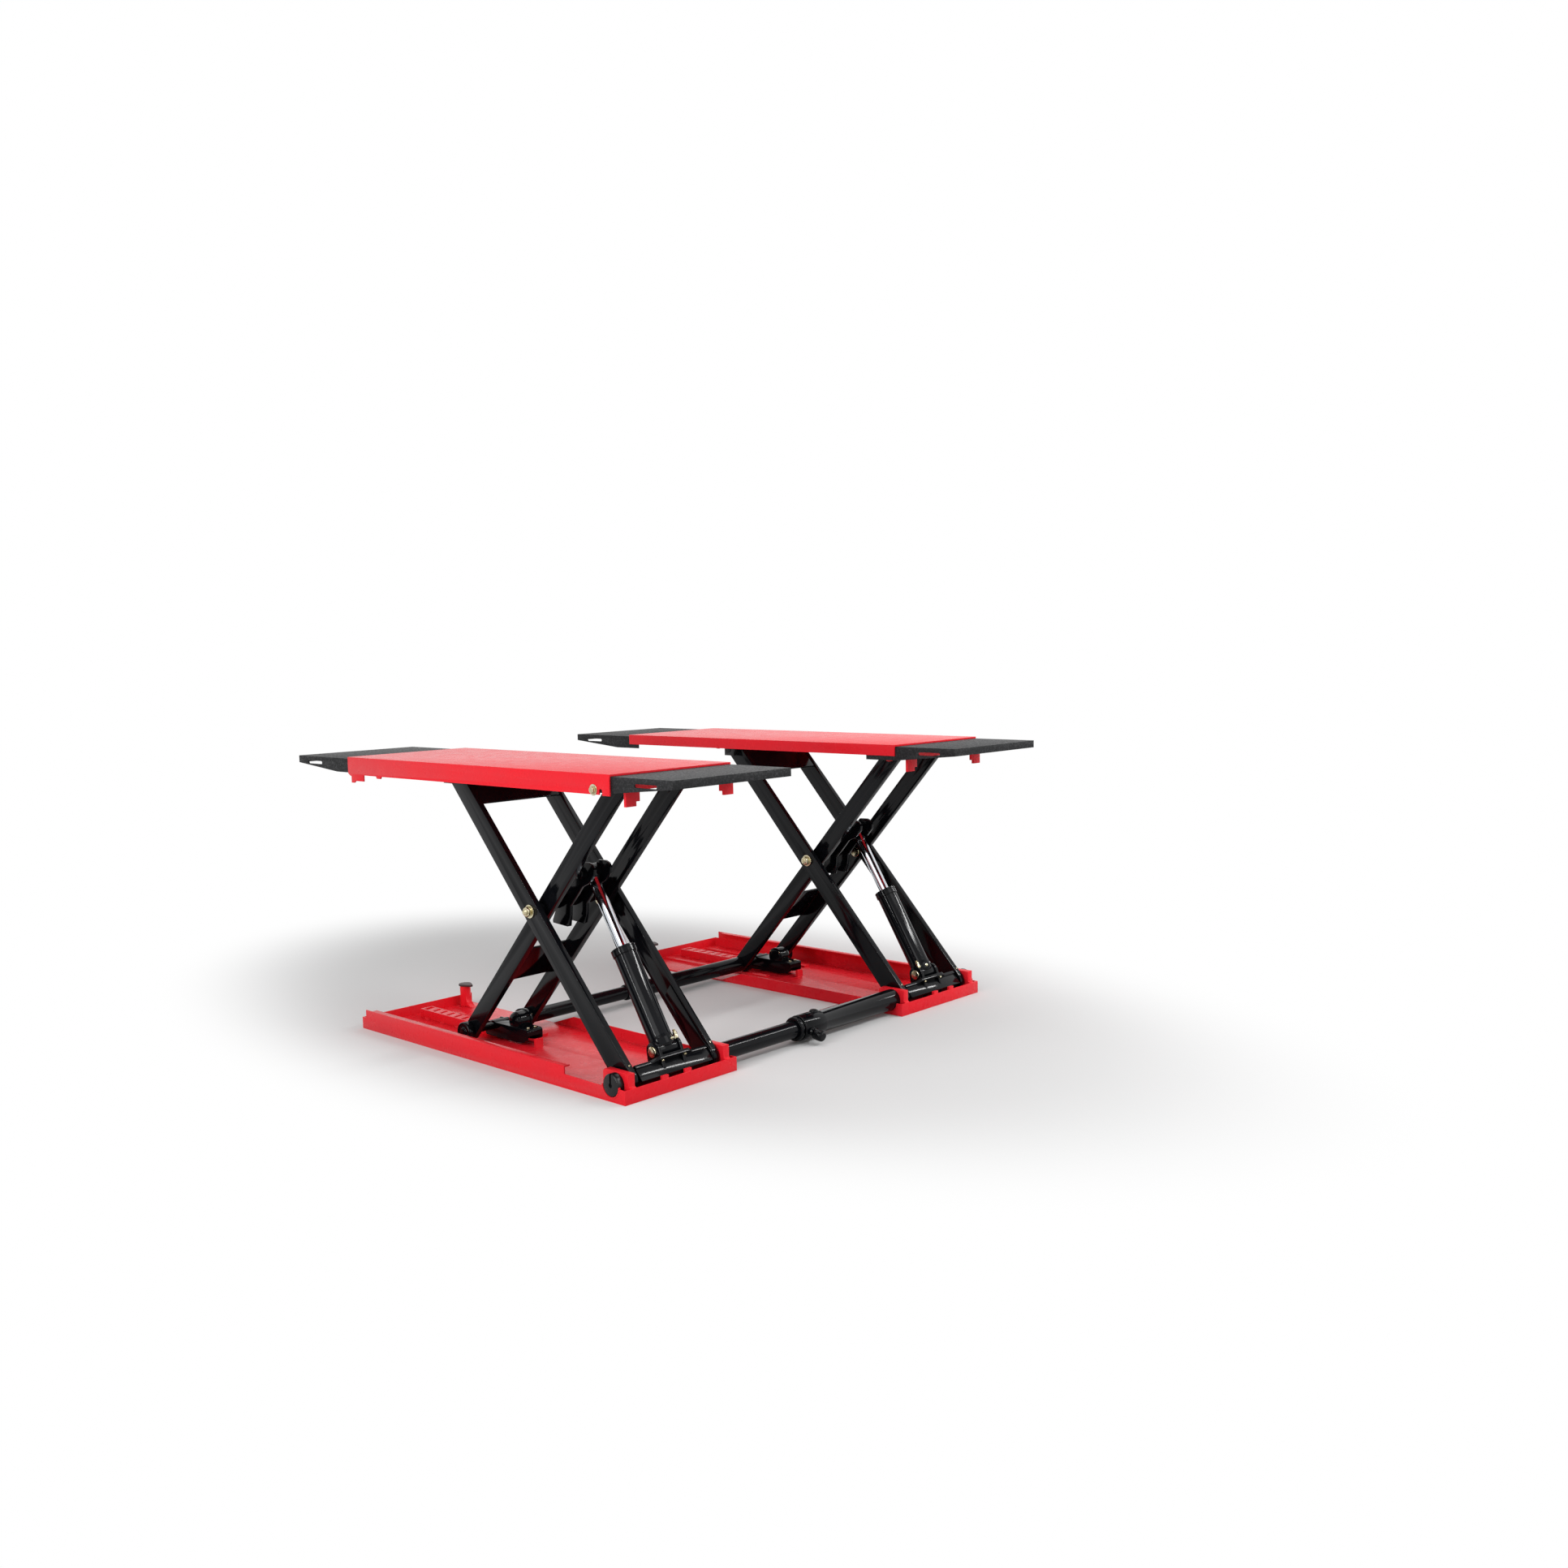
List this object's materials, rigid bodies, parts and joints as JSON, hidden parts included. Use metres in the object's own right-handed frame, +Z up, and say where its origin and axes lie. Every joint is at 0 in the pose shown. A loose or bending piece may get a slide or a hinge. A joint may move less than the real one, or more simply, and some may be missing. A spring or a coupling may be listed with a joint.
{
  "type": "portable scissor car lift",
  "caption": "Low portable vehicle lift: paired scissor units with trays, crossed legs, hydraulic rams, ratchet locks and decks with pull-out extensions, joined by telescopic tubes.",
  "frame": {"origin": "centre of the whole lift's footprint on the ground, raised and with the extensions pulled out", "axes": "+X to the end with the front tube and clamp, +Y from the near unit to the far unit, +Z up"},
  "size_m": [2.048, 1.8606, 0.995],
  "materials": {
    "red_paint": "gloss powder coat",
    "black_paint": "gloss powder coat",
    "grit_black": "matt anti-slip grit coat",
    "zinc_steel": "zinc plated",
    "chrome": "polished hard chrome",
    "dark_steel": "oiled black steel",
    "dark_cap": "moulded"
  },
  "bodies": {
    "near_base": {"near_tray": "red_paint", "near_lock_rack": "red_paint", "near_corner_post": "red_paint", "near_corner_post_cap": "dark_cap"},
    "near_outer": {"near_outer_legs": "black_paint", "near_front_tube": "black_paint", "near_front_tube_cap": "dark_steel", "near_crossing_pin_outer": "zinc_steel", "near_crossing_pin_inner": "zinc_steel", "near_ram_foot_pin": "zinc_steel"},
    "near_inner": {"near_inner_legs": "black_paint", "near_rear_tube": "black_paint"},
    "near_platform": {"near_deck": "red_paint", "near_deck_pin_outer": "zinc_steel", "near_deck_pin_inner": "zinc_steel", "near_deck_lock_bolt": "zinc_steel"},
    "near_front_pull_out": {"near_front_extension": "grit_black"},
    "near_rear_pull_out": {"near_rear_extension": "grit_black"},
    "near_block_outer": {"near_slide_block_outer": "dark_steel"},
    "near_roller_outer": {"near_foot_roller_outer": "black_paint"},
    "near_block_inner": {"near_slide_block_inner": "dark_steel"},
    "near_roller_inner": {"near_foot_roller_inner": "black_paint"},
    "near_carriage": {"near_lock_carriage": "black_paint"},
    "near_pawl": {"near_lock_pawl": "dark_steel"},
    "near_barrel": {"near_ram_barrel": "black_paint"},
    "near_rod": {"near_ram_rod": "chrome", "near_ram_rod_eye": "black_paint"},
    "far_base": {"far_tray": "red_paint", "far_lock_rack": "red_paint", "far_corner_post": "red_paint", "far_corner_post_cap": "dark_cap"},
    "far_outer": {"far_outer_legs": "black_paint", "far_front_tube": "black_paint", "far_front_tube_cap": "dark_steel", "far_crossing_pin_outer": "zinc_steel", "far_crossing_pin_inner": "zinc_steel", "far_ram_foot_pin": "zinc_steel", "front_sleeve": "black_paint", "clamp_collar": "black_paint"},
    "far_inner": {"far_inner_legs": "black_paint", "far_rear_sleeve": "black_paint"},
    "far_platform": {"far_deck": "red_paint", "far_deck_pin_outer": "zinc_steel", "far_deck_pin_inner": "zinc_steel", "far_deck_lock_bolt": "zinc_steel"},
    "far_front_pull_out": {"far_front_extension": "grit_black"},
    "far_rear_pull_out": {"far_rear_extension": "grit_black"},
    "far_block_outer": {"far_slide_block_outer": "dark_steel"},
    "far_roller_outer": {"far_foot_roller_outer": "black_paint"},
    "far_block_inner": {"far_slide_block_inner": "dark_steel"},
    "far_roller_inner": {"far_foot_roller_inner": "black_paint"},
    "far_carriage": {"far_lock_carriage": "black_paint"},
    "far_pawl": {"far_lock_pawl": "dark_steel"},
    "far_barrel": {"far_ram_barrel": "black_paint"},
    "far_rod": {"far_ram_rod": "chrome", "far_ram_rod_eye": "black_paint"},
    "clamp_knob": {"clamp_screw": "black_paint"}
  },
  "joints": [
    {"name": "width_slide", "type": "slide", "parent": "near_base", "child": "far_base", "axis": [0, 1, 0], "range_m": [-0.2, 0.1]},
    {"name": "near_lift", "type": "hinge", "parent": "near_base", "child": "near_outer", "pos_m": [0.7025, -0.6675, 0.051], "axis": [0, 1, 0], "range_deg": [-45.19, 0]},
    {"name": "near_cross", "type": "hinge", "parent": "near_outer", "child": "near_inner", "pos_m": [0.26717, -0.6675, 0.52693], "axis": [0, 1, 0], "range_deg": [0, 90.4]},
    {"name": "near_deck_level", "type": "hinge", "parent": "near_inner", "child": "near_platform", "pos_m": [0.65323, -0.6675, 0.949], "axis": [0, 1, 0], "range_deg": [-45.21, 0]},
    {"name": "near_block_outer_turn", "type": "hinge", "parent": "near_outer", "child": "near_block_outer", "pos_m": [-0.11889, -0.6675, 0.949], "axis": [0, 1, 0], "range_deg": [0, 45.21]},
    {"name": "near_block_inner_turn", "type": "hinge", "parent": "near_outer", "child": "near_block_inner", "pos_m": [-0.11889, -0.6675, 0.949], "axis": [0, 1, 0], "range_deg": [0, 45.21]},
    {"name": "near_carriage_level", "type": "hinge", "parent": "near_inner", "child": "near_carriage", "pos_m": [-0.16816, -0.6675, 0.051], "axis": [0, 1, 0], "range_deg": [-45.21, 0]},
    {"name": "near_ram_swing", "type": "hinge", "parent": "near_outer", "child": "near_barrel", "pos_m": [0.68671, -0.6675, 0.10974], "axis": [0, 1, 0], "range_deg": [-11.16, 0]},
    {"name": "near_ram_stroke", "type": "slide", "parent": "near_barrel", "child": "near_rod", "axis": [-0.5275, 0, 0.8495], "range_m": [-0.17914, 0]},
    {"name": "near_roller_outer_spin", "type": "hinge", "parent": "near_inner", "child": "near_roller_outer", "pos_m": [-0.16816, -0.8127, 0.051], "axis": [0, 1, 0], "continuous": true},
    {"name": "near_roller_inner_spin", "type": "hinge", "parent": "near_inner", "child": "near_roller_inner", "pos_m": [-0.16816, -0.572, 0.051], "axis": [0, 1, 0], "continuous": true},
    {"name": "near_pawl_lift", "type": "hinge", "parent": "near_carriage", "child": "near_pawl", "pos_m": [-0.19816, -0.6675, 0.052], "axis": [0, 1, 0], "range_deg": [0, 12]},
    {"name": "near_front_pull", "type": "slide", "parent": "near_platform", "child": "near_front_pull_out", "axis": [1, 0, 0], "range_m": [-0.22, 0]},
    {"name": "near_rear_pull", "type": "slide", "parent": "near_platform", "child": "near_rear_pull_out", "axis": [-1, 0, 0], "range_m": [-0.35, 0]},
    {"name": "far_lift", "type": "hinge", "parent": "far_base", "child": "far_outer", "pos_m": [0.7025, 0.6675, 0.051], "axis": [0, 1, 0], "range_deg": [-45.19, 0]},
    {"name": "far_cross", "type": "hinge", "parent": "far_outer", "child": "far_inner", "pos_m": [0.26717, 0.6675, 0.52693], "axis": [0, 1, 0], "range_deg": [0, 90.4]},
    {"name": "far_deck_level", "type": "hinge", "parent": "far_inner", "child": "far_platform", "pos_m": [0.65323, 0.6675, 0.949], "axis": [0, 1, 0], "range_deg": [-45.21, 0]},
    {"name": "far_block_outer_turn", "type": "hinge", "parent": "far_outer", "child": "far_block_outer", "pos_m": [-0.11889, 0.6675, 0.949], "axis": [0, 1, 0], "range_deg": [0, 45.21]},
    {"name": "far_block_inner_turn", "type": "hinge", "parent": "far_outer", "child": "far_block_inner", "pos_m": [-0.11889, 0.6675, 0.949], "axis": [0, 1, 0], "range_deg": [0, 45.21]},
    {"name": "far_carriage_level", "type": "hinge", "parent": "far_inner", "child": "far_carriage", "pos_m": [-0.16816, 0.6675, 0.051], "axis": [0, 1, 0], "range_deg": [-45.21, 0]},
    {"name": "far_ram_swing", "type": "hinge", "parent": "far_outer", "child": "far_barrel", "pos_m": [0.68671, 0.6675, 0.10974], "axis": [0, 1, 0], "range_deg": [-11.16, 0]},
    {"name": "far_ram_stroke", "type": "slide", "parent": "far_barrel", "child": "far_rod", "axis": [-0.5275, 0, 0.8495], "range_m": [-0.17914, 0]},
    {"name": "far_roller_outer_spin", "type": "hinge", "parent": "far_inner", "child": "far_roller_outer", "pos_m": [-0.16816, 0.8127, 0.051], "axis": [0, 1, 0], "continuous": true},
    {"name": "far_roller_inner_spin", "type": "hinge", "parent": "far_inner", "child": "far_roller_inner", "pos_m": [-0.16816, 0.572, 0.051], "axis": [0, 1, 0], "continuous": true},
    {"name": "far_pawl_lift", "type": "hinge", "parent": "far_carriage", "child": "far_pawl", "pos_m": [-0.19816, 0.6675, 0.052], "axis": [0, 1, 0], "range_deg": [0, 12]},
    {"name": "far_front_pull", "type": "slide", "parent": "far_platform", "child": "far_front_pull_out", "axis": [1, 0, 0], "range_m": [-0.22, 0]},
    {"name": "far_rear_pull", "type": "slide", "parent": "far_platform", "child": "far_rear_pull_out", "axis": [-1, 0, 0], "range_m": [-0.35, 0]},
    {"name": "clamp_turn", "type": "hinge", "parent": "far_outer", "child": "clamp_knob", "pos_m": [0.7025, -0.035, 0.051], "axis": [0.9659, 0, -0.2588], "continuous": true}
  ],
  "couplings": [
    {"joint": "near_cross", "follows": "near_lift", "ratio": -2},
    {"joint": "near_deck_level", "follows": "near_lift", "ratio": 1},
    {"joint": "near_block_outer_turn", "follows": "near_lift", "ratio": -1},
    {"joint": "near_block_inner_turn", "follows": "near_lift", "ratio": -1},
    {"joint": "near_carriage_level", "follows": "near_lift", "ratio": 1},
    {"joint": "near_ram_swing", "follows": "near_lift", "ratio": 0.24646},
    {"joint": "near_ram_stroke", "follows": "near_lift", "m_per_rad": 0.227},
    {"joint": "far_lift", "follows": "near_lift", "ratio": 1},
    {"joint": "far_cross", "follows": "near_lift", "ratio": -2},
    {"joint": "far_deck_level", "follows": "near_lift", "ratio": 1},
    {"joint": "far_block_outer_turn", "follows": "near_lift", "ratio": -1},
    {"joint": "far_block_inner_turn", "follows": "near_lift", "ratio": -1},
    {"joint": "far_carriage_level", "follows": "near_lift", "ratio": 1},
    {"joint": "far_ram_swing", "follows": "near_lift", "ratio": 0.24646},
    {"joint": "far_ram_stroke", "follows": "near_lift", "m_per_rad": 0.227}
  ]
}
